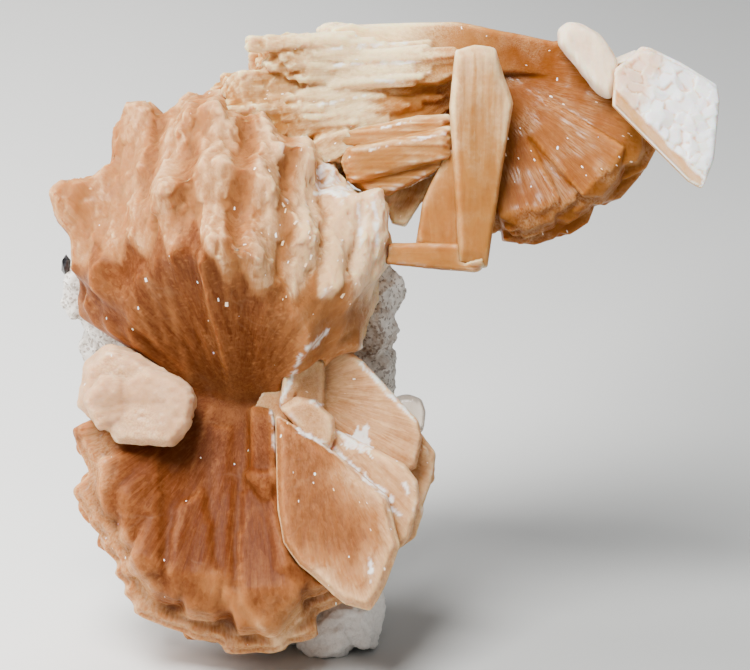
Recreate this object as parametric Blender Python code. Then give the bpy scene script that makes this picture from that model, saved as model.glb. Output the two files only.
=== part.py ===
"""A stilbite hand specimen: peach bow-tie sheaves of blade crystals standing on a chunk of grey rock.

The crystals are laid out in millimetres as they are seen from the front: right, up and away.
The whole specimen leans back by LEAN, and it rests on the flat cut under the rock.
"""

import math
import random

import bmesh
import bpy
from mathutils import Matrix, Vector

# Driving dimensions, in millimetres and degrees
LEAN = math.radians(15.0)
ROW_SHIFT = Vector((-0.05, -14.8, 0.9))
CLEARANCE = 0.35
SEED = 11

WAIST = Vector((-22.9, 0.0, 43.5))
WAIST_HALF_WIDTH = 6.5
WAIST_HALF_DEPTH = 4.5
RIGHT_WAIST = Vector((-15.0, -6.0, 44.5))
ARM_WAIST = Vector((15.5, 5.0, 98.0))

LEFT = Vector((-1.0, 0.0, 0.0))
RIGHT = Vector((1.0, 0.0, 0.0))
UP = Vector((0.0, 0.0, 1.0))
DOWN = Vector((0.0, 0.0, -1.0))
FRONT = Vector((0.0, -1.0, 0.0))

# Reach of each fan from its waist, as pairs of angle in degrees and length in millimetres
UPPER_REACH = ((-64, 28), (-54, 37), (-44, 42), (-36, 42.5), (-28, 44), (-18, 48), (-10, 52),
               (-3, 50), (4, 48.5), (12, 46), (19, 43), (27, 39), (36, 39), (46, 34), (56, 26),
               (68, 20))
LOWER_REACH = ((-78, 27), (-68, 30), (-58, 34), (-46, 36), (-37, 36.5), (-26, 41), (-15, 43),
               (-1, 44), (9, 45.5), (22, 40), (40, 32))
RIGHT_REACH = ((8, 31), (18, 34), (29, 36.5), (40, 34.5), (52, 31), (64, 29.5), (76, 27))
ARM_LEFT_REACH = ((-44, 25), (-34, 31), (-26, 36), (-16, 43), (-6, 47), (0, 42), (6, 31), (14, 27))
ARM_RIGHT_REACH = ((-8, 18), (0, 21), (14, 27), (33, 34), (50, 33.5), (70, 33), (84, 31), (98, 28))

# Tilt of each layer towards the viewer in degrees, and how much of its reach a blade keeps there
UPPER_TILTS = ((-20, 0.92), (-5, 1.0), (10, 0.98), (25, 0.90), (40, 0.77))
LOWER_TILTS = ((-16, 0.90), (-3, 1.0), (10, 0.98), (23, 0.96))
RIGHT_TILTS = ((-22, 0.86), (-10, 0.95))
ARM_LEFT_TILTS = ((-22, 0.88), (-6, 1.0), (10, 0.95))
ARM_RIGHT_TILTS = ((-13, 0.92), (0, 1.0), (13, 0.96))

# How far the upper fan bulges forward at each angle, as a share of those tilts
UPPER_BULGE = ((-60, 0.55), (-35, 0.7), (-12, 1.0), (15, 1.12), (40, 1.15), (66, 0.9))
NO_BULGE = ((0, 1.0),)

# Width and thickness of a blade at its waist end, and how much the end keeps of its full size
STEM = (4.5, 2.6)
RIB_CREST = ((0.75, 0.95), (0.25, 0.5))
PETAL_CREST = ((0.2, 0.5), (0.4, 0.7))
JITTER = 0.12
MAX_SKEW = 0.35

# How much longer or shorter than its fan's a blade's point may be
POINT_RANGE = (0.7, 1.3)

# Where a plate's bevels start, as a share of its thickness from the middle
BEVEL_DEPTH = 0.28

# The corners of a lump of rock, how uneven they are, and the block that cuts the rock at the floor
LUMP_CORNERS = 24
LUMP_SWELL = (0.88, 1.05)
FLOOR_BLOCK = 300.0

# Colour and roughness of each node
FINISHES = {
    "matrix_rock": ((0.46, 0.43, 0.40), 0.9),
    "main_sheaf": ((0.62, 0.33, 0.17), 0.35),
    "right_sheaf": ((0.70, 0.42, 0.25), 0.35),
    "side_crystal": ((0.74, 0.56, 0.42), 0.35),
    "arm_sheaf": ((0.70, 0.47, 0.28), 0.35),
    "upright_blade": ((0.68, 0.46, 0.28), 0.35),
    "hanging_prism": ((0.68, 0.42, 0.24), 0.35),
    "cross_blade": ((0.66, 0.45, 0.28), 0.35),
    "cap_crystal": ((0.84, 0.74, 0.60), 0.35),
    "pearly_blade": ((0.90, 0.88, 0.84), 0.35),
    "bead_crystal": ((0.80, 0.76, 0.70), 0.2),
}

# Each crystal gives way to the neighbours that it grew against
CUT_BY = {
    "main_sheaf": ("right_sheaf",),
    "right_sheaf": (),
    "side_crystal": ("main_sheaf",),
    "arm_sheaf": ("main_sheaf",),
    "upright_blade": ("arm_sheaf", "main_sheaf"),
    "hanging_prism": ("arm_sheaf", "main_sheaf", "upright_blade"),
    "cross_blade": ("main_sheaf", "upright_blade"),
    "cap_crystal": ("arm_sheaf",),
    "pearly_blade": ("arm_sheaf", "cap_crystal"),
    "bead_crystal": ("right_sheaf", "main_sheaf"),
}


def seen(right, up, away=0.0):
    """A point given as it is seen from the front, in millimetres."""
    return Vector((right, away, up))


def value_at(angle, pairs):
    """The value at this angle, between the pairs of a table."""
    if angle <= pairs[0][0]:
        return pairs[0][1]
    for (low, first), (high, second) in zip(pairs, pairs[1:]):
        if angle <= high:
            return first + (second - first) * (angle - low) / (high - low)
    return pairs[-1][1]


def blade(root, tip, face, root_size, tip_size, point, skew, crest):
    """A blade crystal that widens from root to shoulder and ends in a crest.

    Sizes are width and thickness, and crest is the share of each that the end keeps.
    """
    def corners(grow):
        axis = (tip - root).normalized()
        side = axis.cross(face).normalized()
        normal = side.cross(axis)
        crest_size = (tip_size[0] * crest[0], tip_size[1] * crest[1])
        rings = ((root - axis * grow, root_size), (tip - axis * point, tip_size),
                 (tip + axis * grow + side * skew * tip_size[0] / 2, crest_size))
        return [centre + side * across * (size[0] / 2 + grow) + normal * through * (size[1] / 2 + grow)
                for centre, size in rings for across in (-1, 1) for through in (-1, 1)]
    return corners


def plate(outline, away, thick, slope=(0.0, 0.0), chamfer=0.88, root=None, stem=4.0):
    """A tabular crystal from its outline as seen from the front, with bevelled rims.

    Slope is how fast the plate falls away to the right and upwards. A root draws it out to a stem.
    """
    def corners(grow):
        right = sum(p[0] for p in outline) / len(outline)
        up = sum(p[1] for p in outline) / len(outline)
        found = []
        for depth, share in ((-0.5, chamfer), (-BEVEL_DEPTH, 1.0), (BEVEL_DEPTH, 1.0), (0.5, chamfer)):
            layer = depth * thick + math.copysign(grow, depth)
            for p in outline:
                arm = Vector((p[0] - right, p[1] - up))
                arm *= share * (1.0 + grow / arm.length)
                fall = slope[0] * arm.x + slope[1] * arm.y
                found.append(seen(right + arm.x, up + arm.y, away + layer + fall))
        if root is not None:
            reach = stem / 2 + grow
            found += [root + seen(reach * across, 0.0, reach * through)
                      for across in (-1, 1) for through in (-1, 1)]
        return found
    return corners


def fan(centre, axis, across, reach, tilts, angles, rng, spread, edge_on=False, overlap=1.15,
        wobble=0.04, point=3.5, bulge=NO_BULGE):
    """Blades that spread from a waist in the picture plane and tip towards the viewer.

    An edge-on fan stands its plates upright, so that their crests join into ribs.
    The plates of the others lie face forward.
    """
    step = math.radians(angles[1] - angles[0])
    crystals = []
    for angle in angles:
        around = math.radians(angle) + rng.uniform(-JITTER, JITTER) * step
        stack = rng.uniform(1.0 - wobble, 1.0)
        swell = value_at(angle, bulge)
        tilt_step = math.radians(tilts[1][0] - tilts[0][0]) * swell
        for tilt, keep in tilts:
            forward = math.radians(tilt) * swell + rng.uniform(-JITTER, JITTER) * tilt_step
            outwards = (axis * math.cos(around) + across * math.sin(around)) * math.cos(forward)
            outwards += FRONT * math.sin(forward)
            length = value_at(angle, reach) * keep * stack * rng.uniform(1.0 - wobble, 1.0)
            root = centre + across * spread[0] * math.sin(around) + FRONT * spread[1] * math.sin(forward)
            wide = length * tilt_step * overlap
            thin = length * step * overlap
            if edge_on:
                face = across * math.cos(around) - axis * math.sin(around)
                sizes = STEM, (wide, thin)
                crest = [rng.uniform(*share) for share in RIB_CREST]
            else:
                face = FRONT
                sizes = (STEM[1], STEM[0]), (thin, wide)
                crest = [rng.uniform(*share) for share in PETAL_CREST]
            sharp = point * rng.uniform(*POINT_RANGE)
            skew = rng.uniform(-MAX_SKEW, MAX_SKEW)
            tip = centre + outwards * length
            crystals.append(blade(root, tip, face, *sizes, point=sharp, skew=skew, crest=crest))
    return crystals


def main_sheaf(rng):
    """The large bow tie: a domed stack of plates above the waist and a fan of petals below it."""
    spread = (WAIST_HALF_WIDTH, WAIST_HALF_DEPTH)
    crystals = fan(WAIST, UP, RIGHT, UPPER_REACH, UPPER_TILTS, range(-58, 70, 10), rng, spread,
                   edge_on=True, bulge=UPPER_BULGE)
    crystals += fan(WAIST, DOWN, RIGHT, LOWER_REACH, LOWER_TILTS, range(-68, 30, 15), rng, spread,
                    wobble=0.03, point=5.0)
    # The broad blade that stands up at the upper left
    crystals.append(plate(((-45.2, 77.0), (-45.3, 87.0), (-42.5, 92.2), (-40.3, 92.0), (-36.4, 90.0),
                           (-35.5, 80.0)), -1.5, 8.5, slope=(-0.2, 0.1), root=seen(-28, 50, -1)))
    # The rounded lobe beyond it
    crystals.append(plate(((-55.5, 76.7), (-53.6, 78.7), (-46.3, 80.3), (-43.8, 69.2), (-51.3, 69.3),
                           (-54.1, 72.2)), -4.0, 9.0, slope=(0.1, 0.1), root=seen(-28, 49, -2)))
    # Long plates that close the right edge
    crystals.append(plate(((-6.3, 76.0), (-0.4, 77.2), (1.2, 71.0), (0.8, 66.0), (-3.6, 61.5), (-8, 64)),
                          -9.0, 7.0, slope=(0.4, 0.0), root=seen(-20, 48, -5)))
    crystals.append(plate(((-8, 66), (-3.3, 63), (-3.6, 50.7), (-9, 50)), -7.5, 6.0, slope=(0.4, 0.0),
                          root=seen(-19, 46, -4)))
    # The short pale prism in front of the waist
    crystals.append(plate(((-21.9, 41.6), (-17.7, 41.4), (-17.2, 30.0), (-19.0, 26.0), (-21.8, 30.0)),
                          -9.5, 5.0, slope=(0.0, 0.3), chamfer=0.8))
    return crystals


def right_sheaf(rng):
    """The smaller fan of broad blades at the lower right, which opens like a book."""
    crystals = fan(RIGHT_WAIST, DOWN, RIGHT, RIGHT_REACH, RIGHT_TILTS, (20, 37, 54), rng, (2.5, 2.0),
                   overlap=1.3, wobble=0.03, point=4.0)
    plates = (
        # The broad front blade, whose upper edge catches the light
        (((-17.4, 40.0), (-13.7, 37.8), (-7.9, 33.8), (-3.2, 29.9), (0.6, 27.0), (2.6, 19.0),
          (0.1, 12.3), (-2.1, 8.8), (-6.1, 10.0), (-13.4, 16.2), (-15.9, 19.7), (-16.9, 25.2)),
         -15.5, 7.0, (0.05, 0.3), 0.9),
        # The blade behind it
        (((-8.5, 38.0), (-5.1, 36.2), (3.6, 31.8), (5.6, 29.2), (5.9, 25.8), (4.1, 20.0),
          (1.5, 17.5), (-8.0, 24.0)), -10.0, 4.5, (0.0, 0.2), 0.93),
        # The largest plate, with its long straight edge to the upper right
        (((-10.4, 49.7), (-8.2, 51.3), (-5.1, 50.2), (-3.2, 48.7), (5.8, 38.9), (6.3, 36.3),
          (5.4, 31.5), (-0.4, 28.5), (-7.5, 32.5), (-10.4, 42.0)), -6.0, 4.0, (-0.1, 0.0), 0.95),
        (((-2.0, 37.5), (6.3, 36.9), (8.6, 33.8), (8.4, 30.5), (6.8, 25.8), (4.1, 19.5),
          (0.6, 15.8), (-4.0, 22.0)), -2.5, 4.0, (-0.05, 0.0), 0.93),
        # The small leaf at the waist
        (((-16.6, 41.3), (-14.1, 43.0), (-11.2, 42.4), (-8.2, 39.6), (-7.9, 37.0), (-8.6, 35.0),
          (-11.6, 36.0)), -11.0, 5.0, (0.1, 0.1), 0.85),
        # Short broken blades above it
        (((-14.6, 48.8), (-12.0, 50.0), (-9.8, 49.0), (-9.8, 41.0), (-14.3, 41.8)),
         -8.0, 4.5, (0.3, 0.0), 0.85),
        (((-9.2, 54.3), (-10.7, 51.0), (-15.5, 41.5), (-16.8, 42.0), (-16.2, 46.0), (-12.4, 52.0)),
         -8.5, 5.0, (0.3, 0.0), 0.9),
    )
    for outline, away, thick, slope, chamfer in plates:
        crystals.append(plate(outline, away, thick, slope, chamfer))
    return crystals


def side_crystal():
    """The stubby pale crystal in the waist's left hollow, a short pack of thick plates."""
    return [
        plate(((-50.1, 41.7), (-49.5, 46.0), (-48.8, 48.8), (-45.8, 51.3), (-44.8, 51.7),
               (-40.0, 50.0), (-33.0, 45.6), (-31.0, 40.0), (-34.5, 36.4), (-42.9, 36.2),
               (-46.5, 37.7)), -8.0, 11.0, slope=(-0.15, 0.1), chamfer=0.8),
        plate(((-44.0, 45.8), (-38.9, 47.8), (-34.5, 46.6), (-31.2, 44.6), (-30.7, 43.0),
               (-31.4, 38.5), (-34.3, 35.3), (-43.5, 35.8), (-45.5, 40.0)),
              -12.0, 8.0, slope=(-0.2, 0.15), chamfer=0.84),
        plate(((-49.0, 42.5), (-46.0, 46.6), (-42.5, 46.4), (-42.0, 39.2), (-46.4, 38.2)),
              -12.5, 6.0, slope=(0.15, 0.1), chamfer=0.8),
    ]


def arm_sheaf(rng):
    """The sheaf that reaches out to the right: a pale bell at its left and a broad fan at its right."""
    crystals = fan(ARM_WAIST, LEFT, UP, ARM_LEFT_REACH, ARM_LEFT_TILTS, range(-38, 14, 10), rng,
                   (3.0, 4.0), edge_on=True, wobble=0.05, point=2.5)
    crystals += fan(ARM_WAIST + seen(1.5, 1.0), RIGHT, DOWN, ARM_RIGHT_REACH, ARM_RIGHT_TILTS,
                    range(0, 96, 15), rng, (2.5, 3.0), overlap=1.3, wobble=0.03, point=2.6)
    prisms = (
        # Long straight prisms along the top, from the bell to the fan
        (((-11.8, 102.0), (-9.5, 104.8), (8.1, 104.6), (12.1, 105.5), (14.4, 105.1), (21.2, 103.5),
          (32.0, 101.5), (33.0, 96.0), (-8.8, 99.0)), 3.0, 8.0),
        (((-13.8, 98.0), (-12.4, 100.8), (11.3, 100.5), (14.6, 97.5), (9.6, 95.0), (-12.1, 95.2)),
         -1.0, 6.5),
        (((-23.8, 95.8), (-13.8, 97.2), (3.0, 95.0), (-1.0, 91.7), (-9.0, 88.3), (-20.1, 89.8)),
         2.0, 7.0),
        # The stub that hangs over the gap
        (((0.3, 76.5), (2.9, 82.0), (9.6, 82.0), (7.0, 76.5), (3.8, 71.4), (1.6, 72.0)), 2.0, 6.0),
        # The neck behind the upright blade
        (((2.0, 95.0), (18.0, 97.0), (19.5, 80.0), (10.0, 71.5), (7.0, 76.0)), 5.0, 7.0),
    )
    for outline, away, thick in prisms:
        crystals.append(plate(outline, away, thick, chamfer=0.93))
    return crystals


def hanging_prism():
    """The bundle of striated prisms under the arm, which points down to the left."""
    return [
        plate(((-9.0, 85.0), (-6.5, 86.9), (6.0, 89.3), (11.2, 89.5), (11.2, 84.5), (-6.4, 81.6)),
              -3.5, 5.5, chamfer=0.85),
        plate(((-6.8, 82.0), (-5.8, 84.0), (11.2, 87.5), (11.2, 82.5), (-5.3, 78.6)), -5.2, 6.0,
              chamfer=0.85),
        plate(((-5.4, 79.0), (-5.0, 81.0), (11.2, 84.6), (10.8, 81.5), (6.0, 79.0), (0.1, 76.4),
               (-2.8, 77.0)), -3.6, 5.5, chamfer=0.85),
    ]


def upright_blade():
    """The tall tabular crystal that crosses the arm, with a broader one behind its foot."""
    return [
        plate(((12.2, 100.0), (15.2, 100.9), (18.4, 100.4), (21.3, 91.5), (20.9, 89.5), (18.8, 79.0),
               (17.0, 64.5), (12.7, 65.5), (11.2, 90.8)), -8.0, 3.8, slope=(0.2, 0.0), chamfer=0.9),
        plate(((10.9, 84.2), (14.6, 85.2), (16.4, 65.8), (5.7, 68.5), (7.4, 72.0), (6.7, 75.0)),
              -5.0, 3.4, slope=(-0.1, 0.05), chamfer=0.93),
    ]


def cross_blade():
    """The thin crystal that lies level under the foot of the upright blade."""
    return [plate(((-3.0, 68.3), (-3.0, 65.6), (4.6, 64.9), (15.3, 63.8), (16.9, 64.6), (16.6, 67.0),
                   (13.3, 68.1)), -7.0, 5.0, slope=(-0.1, 0.0), chamfer=0.92)]


def pearly_blade():
    """The white cleaved plate at the far right, and the pale crystals behind its upper edge."""
    return [
        plate(((37.9, 91.0), (38.4, 97.0), (42.0, 99.8), (44.0, 100.2), (53.4, 95.5), (55.3, 94.0),
               (55.6, 92.0), (54.4, 82.2), (52.4, 77.5), (50.2, 78.7)), -7.0, 2.6,
              slope=(0.3, 0.3), chamfer=0.97),
        plate(((38.6, 97.0), (42.9, 100.9), (44.3, 100.7), (49.6, 98.2), (55.3, 94.7), (55.6, 93.3),
               (54.0, 84.0), (44.0, 88.0)), -4.4, 2.8, slope=(0.3, 0.3), chamfer=0.97),
        plate(((36.0, 91.5), (37.3, 98.6), (42.0, 100.5), (45.0, 97.5), (44.0, 88.0)), 1.0, 9.0,
              chamfer=0.85),
    ]


def cap_crystal():
    """The smooth cream crystal that lies over the arm's right shoulder."""
    return [plate(((29.1, 103.8), (30.6, 105.0), (32.8, 104.6), (35.6, 103.2), (37.9, 100.3),
                   (38.8, 98.2), (38.4, 94.7), (37.6, 92.3), (35.6, 93.3), (33.7, 96.5),
                   (29.2, 101.4)), -5.0, 6.0, slope=(0.1, 0.2), chamfer=0.8)]


def bead_crystal():
    """The small clear crystal that shows behind the right sheaf."""
    return [plate(((1.0, 37.5), (2.3, 42.8), (4.4, 43.2), (6.4, 42.4), (7.1, 40.4), (6.6, 37.0)),
                  4.0, 5.0, chamfer=0.75)]


def rock_lump(centre, size, rng):
    """The corners of one angular lump of rock."""
    points = []
    for _ in range(LUMP_CORNERS):
        way = Vector((rng.gauss(0, 1), rng.gauss(0, 1), rng.gauss(0, 1))).normalized()
        swell = rng.uniform(*LUMP_SWELL)
        points.append(centre + Vector([way[k] * size[k] * swell for k in range(3)]))
    return points


def matrix_rock(rng):
    """The grey rock behind the waist and under the lower fan, as lumps that overlap.

    Each lump has its centre and its half sizes to the right, away and up.
    """
    lumps = (
        # The mass behind the waist
        (seen(-26, 46, 16), (24, 10, 20)), (seen(-37, 54, 14), (15, 9, 12)),
        (seen(-8, 50, 14), (13, 9, 13)), (seen(-20, 36, 24), (15, 8, 17)),
        (seen(-14, 64, 15), (13, 8, 8)),
        # The ears that show at both sides of the dome
        (seen(-48.6, 61.0, 9), (6.0, 6, 6.6)), (seen(-44.0, 56.5, 9), (8, 6, 7)),
        (seen(0.2, 60.4, 8), (4.6, 5, 5.4)), (seen(-1.6, 55.5, 8), (4.6, 5, 6.5)),
        # The foot
        (seen(-18, 24, 15), (17, 12, 19)), (seen(-26, 22, 25), (12, 9, 14)),
        (seen(-12, 9, 13), (14, 12, 14)), (seen(-22, 9, 20), (13, 12, 12)),
        # The pale corner that shows at the lower right
        (seen(-5.0, 5.6, 5), (6.4, 6, 7.0)), (seen(-9.5, 3.0, 3), (6.5, 5, 5)),
        (seen(-2.2, 9.0, 6), (3.6, 5, 5)),
    )
    return [rock_lump(centre, size, rng) for centre, size in lumps]


def hull_object(corners, name):
    """A convex solid around these corners."""
    shape = bmesh.new()
    for corner in corners:
        shape.verts.new(corner)
    hull = bmesh.ops.convex_hull(shape, input=shape.verts)
    inside = [v for v in hull["geom_interior"] if isinstance(v, bmesh.types.BMVert)]
    bmesh.ops.delete(shape, geom=inside, context="VERTS")
    mesh = bpy.data.meshes.new(name)
    shape.to_mesh(mesh)
    shape.free()
    solid = bpy.data.objects.new(name, mesh)
    bpy.context.scene.collection.objects.link(solid)
    return solid


def settle(solid):
    """Puts the result of the solid's modifiers into its mesh."""
    evaluated = solid.evaluated_get(bpy.context.evaluated_depsgraph_get())
    mesh = bpy.data.meshes.new_from_object(evaluated)
    solid.modifiers.clear()
    solid.data = mesh


def fuse(name, hulls):
    """One solid from many overlapping convex ones.

    The manifold solver is used because the exact one takes minutes on a fan of blades.
    """
    others = bpy.data.collections.new(name + "_pieces")
    solids = [hull_object(corners, f"{name}_piece") for corners in hulls]
    for solid in solids[1:]:
        others.objects.link(solid)
    whole = solids[0]
    whole.name = name
    if len(solids) > 1:
        union = whole.modifiers.new("union", "BOOLEAN")
        union.operation = "UNION"
        union.operand_type = "COLLECTION"
        union.collection = others
        union.solver = "MANIFOLD"
        settle(whole)
    for solid in solids[1:]:
        bpy.data.objects.remove(solid)
    bpy.data.collections.remove(others)
    return whole


def crystal_solid(name, crystals, grow=0.0):
    """The crystals as one solid, or as a cutter that is larger all round."""
    return fuse(name, [corners(grow) for corners in crystals])


def carve(solid, cutter):
    """Takes the cutter's space out of the solid."""
    cut = solid.modifiers.new("cut", "BOOLEAN")
    cut.operation = "DIFFERENCE"
    cut.object = cutter
    cut.solver = "MANIFOLD"
    settle(solid)


def swollen(solid, by):
    """A copy of a solid with its surface pushed out, as a cutter that leaves a gap."""
    copy = bpy.data.objects.new(solid.name + "_swollen", solid.data.copy())
    bpy.context.scene.collection.objects.link(copy)
    shape = bmesh.new()
    shape.from_mesh(copy.data)
    shape.normal_update()
    for vert in shape.verts:
        vert.co += vert.normal * by * vert.calc_shell_factor()
    shape.to_mesh(copy.data)
    shape.free()
    return copy


def keep_largest_body(solid):
    """Deletes loose chips that a cut has left, so that the node is one body."""
    shape = bmesh.new()
    shape.from_mesh(solid.data)
    unseen = set(shape.faces)
    bodies = []
    while unseen:
        body = [unseen.pop()]
        for face in body:
            for edge in face.edges:
                for other in edge.link_faces:
                    if len(edge.link_faces) == 2 and other in unseen:
                        unseen.remove(other)
                        body.append(other)
        bodies.append(body)
    bodies.sort(key=lambda faces: sum(face.calc_area() for face in faces))
    for body in bodies[:-1]:
        bmesh.ops.delete(shape, geom=body, context="FACES")
    shape.to_mesh(solid.data)
    shape.free()


def add_finish(solid):
    """Gives the solid its plain colour."""
    colour, roughness = FINISHES[solid.name]
    material = bpy.data.materials.new(solid.name)
    material.use_nodes = True
    shader = material.node_tree.nodes["Principled BSDF"]
    shader.inputs["Base Color"].default_value = (*colour, 1.0)
    shader.inputs["Roughness"].default_value = roughness
    shader.inputs["Metallic"].default_value = 0.0
    solid.data.materials.clear()
    solid.data.materials.append(material)


def lean():
    """The turn and shift from the upright layout to the specimen as it stands, in millimetres."""
    return Matrix.Translation(ROW_SHIFT) @ Matrix.Rotation(-LEAN, 4, "X")


def floor_cutter():
    """A block whose top is the floor, in the upright layout."""
    half = FLOOR_BLOCK / 2
    corners = [Vector((x, y, z)) for x in (-half, half) for y in (-half, half) for z in (-half, 0)]
    onto_layout = lean().inverted()
    return hull_object([onto_layout @ corner for corner in corners], "floor_cutter")


def build():
    rng = random.Random(SEED)
    groups = {
        "main_sheaf": main_sheaf(rng),
        "right_sheaf": right_sheaf(rng),
        "side_crystal": side_crystal(),
        "arm_sheaf": arm_sheaf(rng),
        "upright_blade": upright_blade(),
        "hanging_prism": hanging_prism(),
        "cross_blade": cross_blade(),
        "cap_crystal": cap_crystal(),
        "pearly_blade": pearly_blade(),
        "bead_crystal": bead_crystal(),
    }
    rock = fuse("matrix_rock", matrix_rock(rng))
    below = floor_cutter()
    carve(rock, below)
    rock_cutter = swollen(rock, CLEARANCE)
    solids = {name: crystal_solid(name, crystals) for name, crystals in groups.items()}
    cutters = {name: crystal_solid(name + "_cutter", crystals, CLEARANCE)
               for name, crystals in groups.items()}
    for name, solid in solids.items():
        for neighbour in CUT_BY[name]:
            carve(solid, cutters[neighbour])
        carve(solid, rock_cutter)
        carve(solid, below)
        keep_largest_body(solid)
    for helper in (below, rock_cutter, *cutters.values()):
        bpy.data.objects.remove(helper)
    to_metres = Matrix.Scale(0.001, 4) @ lean()
    for solid in (rock, *solids.values()):
        solid.data.transform(to_metres)
        add_finish(solid)


for old in list(bpy.data.objects):
    bpy.data.objects.remove(old)
build()
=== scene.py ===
"""The looks of a stilbite hand specimen: peach bow-tie sheaves of blade crystals on grey rock.

Each crystal aggregate is grown in millimetres as it is seen from the front (right, away and up),
and leans back into place when it is done.
"""

import math
import random

import bmesh
import bpy
import numpy as np
from mathutils import Matrix, Vector
from mathutils.kdtree import KDTree


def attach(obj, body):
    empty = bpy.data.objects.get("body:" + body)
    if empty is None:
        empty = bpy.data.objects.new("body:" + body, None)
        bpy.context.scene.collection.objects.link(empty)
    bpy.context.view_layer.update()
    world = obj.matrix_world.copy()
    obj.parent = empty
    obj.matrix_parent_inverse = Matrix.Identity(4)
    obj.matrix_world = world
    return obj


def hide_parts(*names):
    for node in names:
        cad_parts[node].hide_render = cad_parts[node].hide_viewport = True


# How the upright layout leans back onto the floor, as in the CAD model, in degrees and millimetres
LEAN = math.radians(15.0)
ROW_SHIFT = Vector((-0.05, -14.8, 0.9))
TO_ROW = Matrix.Scale(0.001, 4) @ Matrix.Translation(ROW_SHIFT) @ Matrix.Rotation(-LEAN, 4, "X")
TO_LAYOUT = TO_ROW.inverted()

# The points that each sheaf's crystals spread from
WAIST = Vector((-22.9, 0.0, 43.5))
RIGHT_WAIST = Vector((-15.0, -6.0, 44.5))
ARM_WAIST = Vector((15.5, 5.0, 98.0))

# The dome's ribs run round an axis through the waist that leans back by this angle
RIB_TILT = math.radians(42.0)
# The angles between the ribs and between the fine ribs on them, in degrees
RIB_ANGLE = 11.5
FINE_ANGLE = 4.7
# The bow tie's finest detail, and how far its dome swells over these heights to close its small gaps,
# in millimetres
BOW_TIE_GRAIN = 0.5
SWELL = 1.6
DOME_START = (50.0, 62.0)

RIGHT = Vector((1.0, 0.0, 0.0))
FRONT = Vector((0.0, -1.0, 0.0))

# The camera looks straight at the upright layout, from this far, in millimetres
VIEW_CENTRE = Vector((-1.25, 0.0, 53.3))
VIEW_DISTANCE = 700.0
VIEW_WIDTH = 125.0
SENSOR_WIDTH = 36.0

# A distance that is beyond every rim, in millimetres
FAR = 50.0
# No point goes below the floor; sideways there is room enough, in metres
LOWEST = np.array((-1.0, -1.0, 0.0))

# The floor's flat radius, and the radius and steps of its sweep up to the wall, in metres
FLOOR_REACH = 1.6
FLOOR_SWEEP = 0.8
SWEEP_STEPS = 12


# Numbers over a surface

def noise(points, seed):
    """Smooth random values from -1 to 1 at these points, one wave to each unit of length."""
    cell = np.floor(points)
    part = points - cell
    part = part * part * (3.0 - 2.0 * part)
    total = np.zeros(len(points))
    for corner in np.ndindex(2, 2, 2):
        share = np.prod(np.where(corner, part, 1.0 - part), axis=1)
        mixed = (cell + corner) @ np.array((127.1, 311.7, 74.7)) + seed * 17.3
        total += share * (np.sin(mixed) * 43758.5453 % 1.0)
    return total * 2.0 - 1.0


def lumps(points, size, seed, octaves=3):
    """Noise whose largest lumps have this size, with finer ones over them."""
    total = np.zeros(len(points))
    for octave in range(octaves):
        total += noise(points * 2.0 ** octave / size, seed + octave) / 2.0 ** octave
    return total / 1.6


def ramp(values, low, high):
    """Runs smoothly from 0 at low to 1 at high."""
    share = np.clip((values - low) / (high - low), 0.0, 1.0)
    return share * share * (3.0 - 2.0 * share)


def inside(across, up, outline):
    """Whether each point lies within this outline, both seen from the front."""
    within = np.zeros(len(across), dtype=bool)
    for (x0, y0), (x1, y1) in zip(outline, outline[1:] + outline[:1]):
        if y0 == y1:
            continue
        crossing = x0 + (up - y0) * (x1 - x0) / (y1 - y0)
        within ^= ((y0 > up) != (y1 > up)) & (across < crossing)
    return within


def nearness(across, up, line):
    """The distance of each point from a line of corners, both seen from the front."""
    nearest = np.full(len(across), 1e9)
    for (x0, y0), (x1, y1) in zip(line, line[1:]):
        run, rise = x1 - x0, y1 - y0
        along = ((across - x0) * run + (up - y0) * rise) / (run * run + rise * rise)
        along = np.clip(along, 0.0, 1.0)
        nearest = np.minimum(nearest, np.hypot(across - x0 - along * run, up - y0 - along * rise))
    return nearest


def nearest_line(across, up, lines):
    """The distance of each point from the nearest of these lines, all seen from the front."""
    return np.min([nearness(across, up, line) for line in lines], axis=0)


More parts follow.
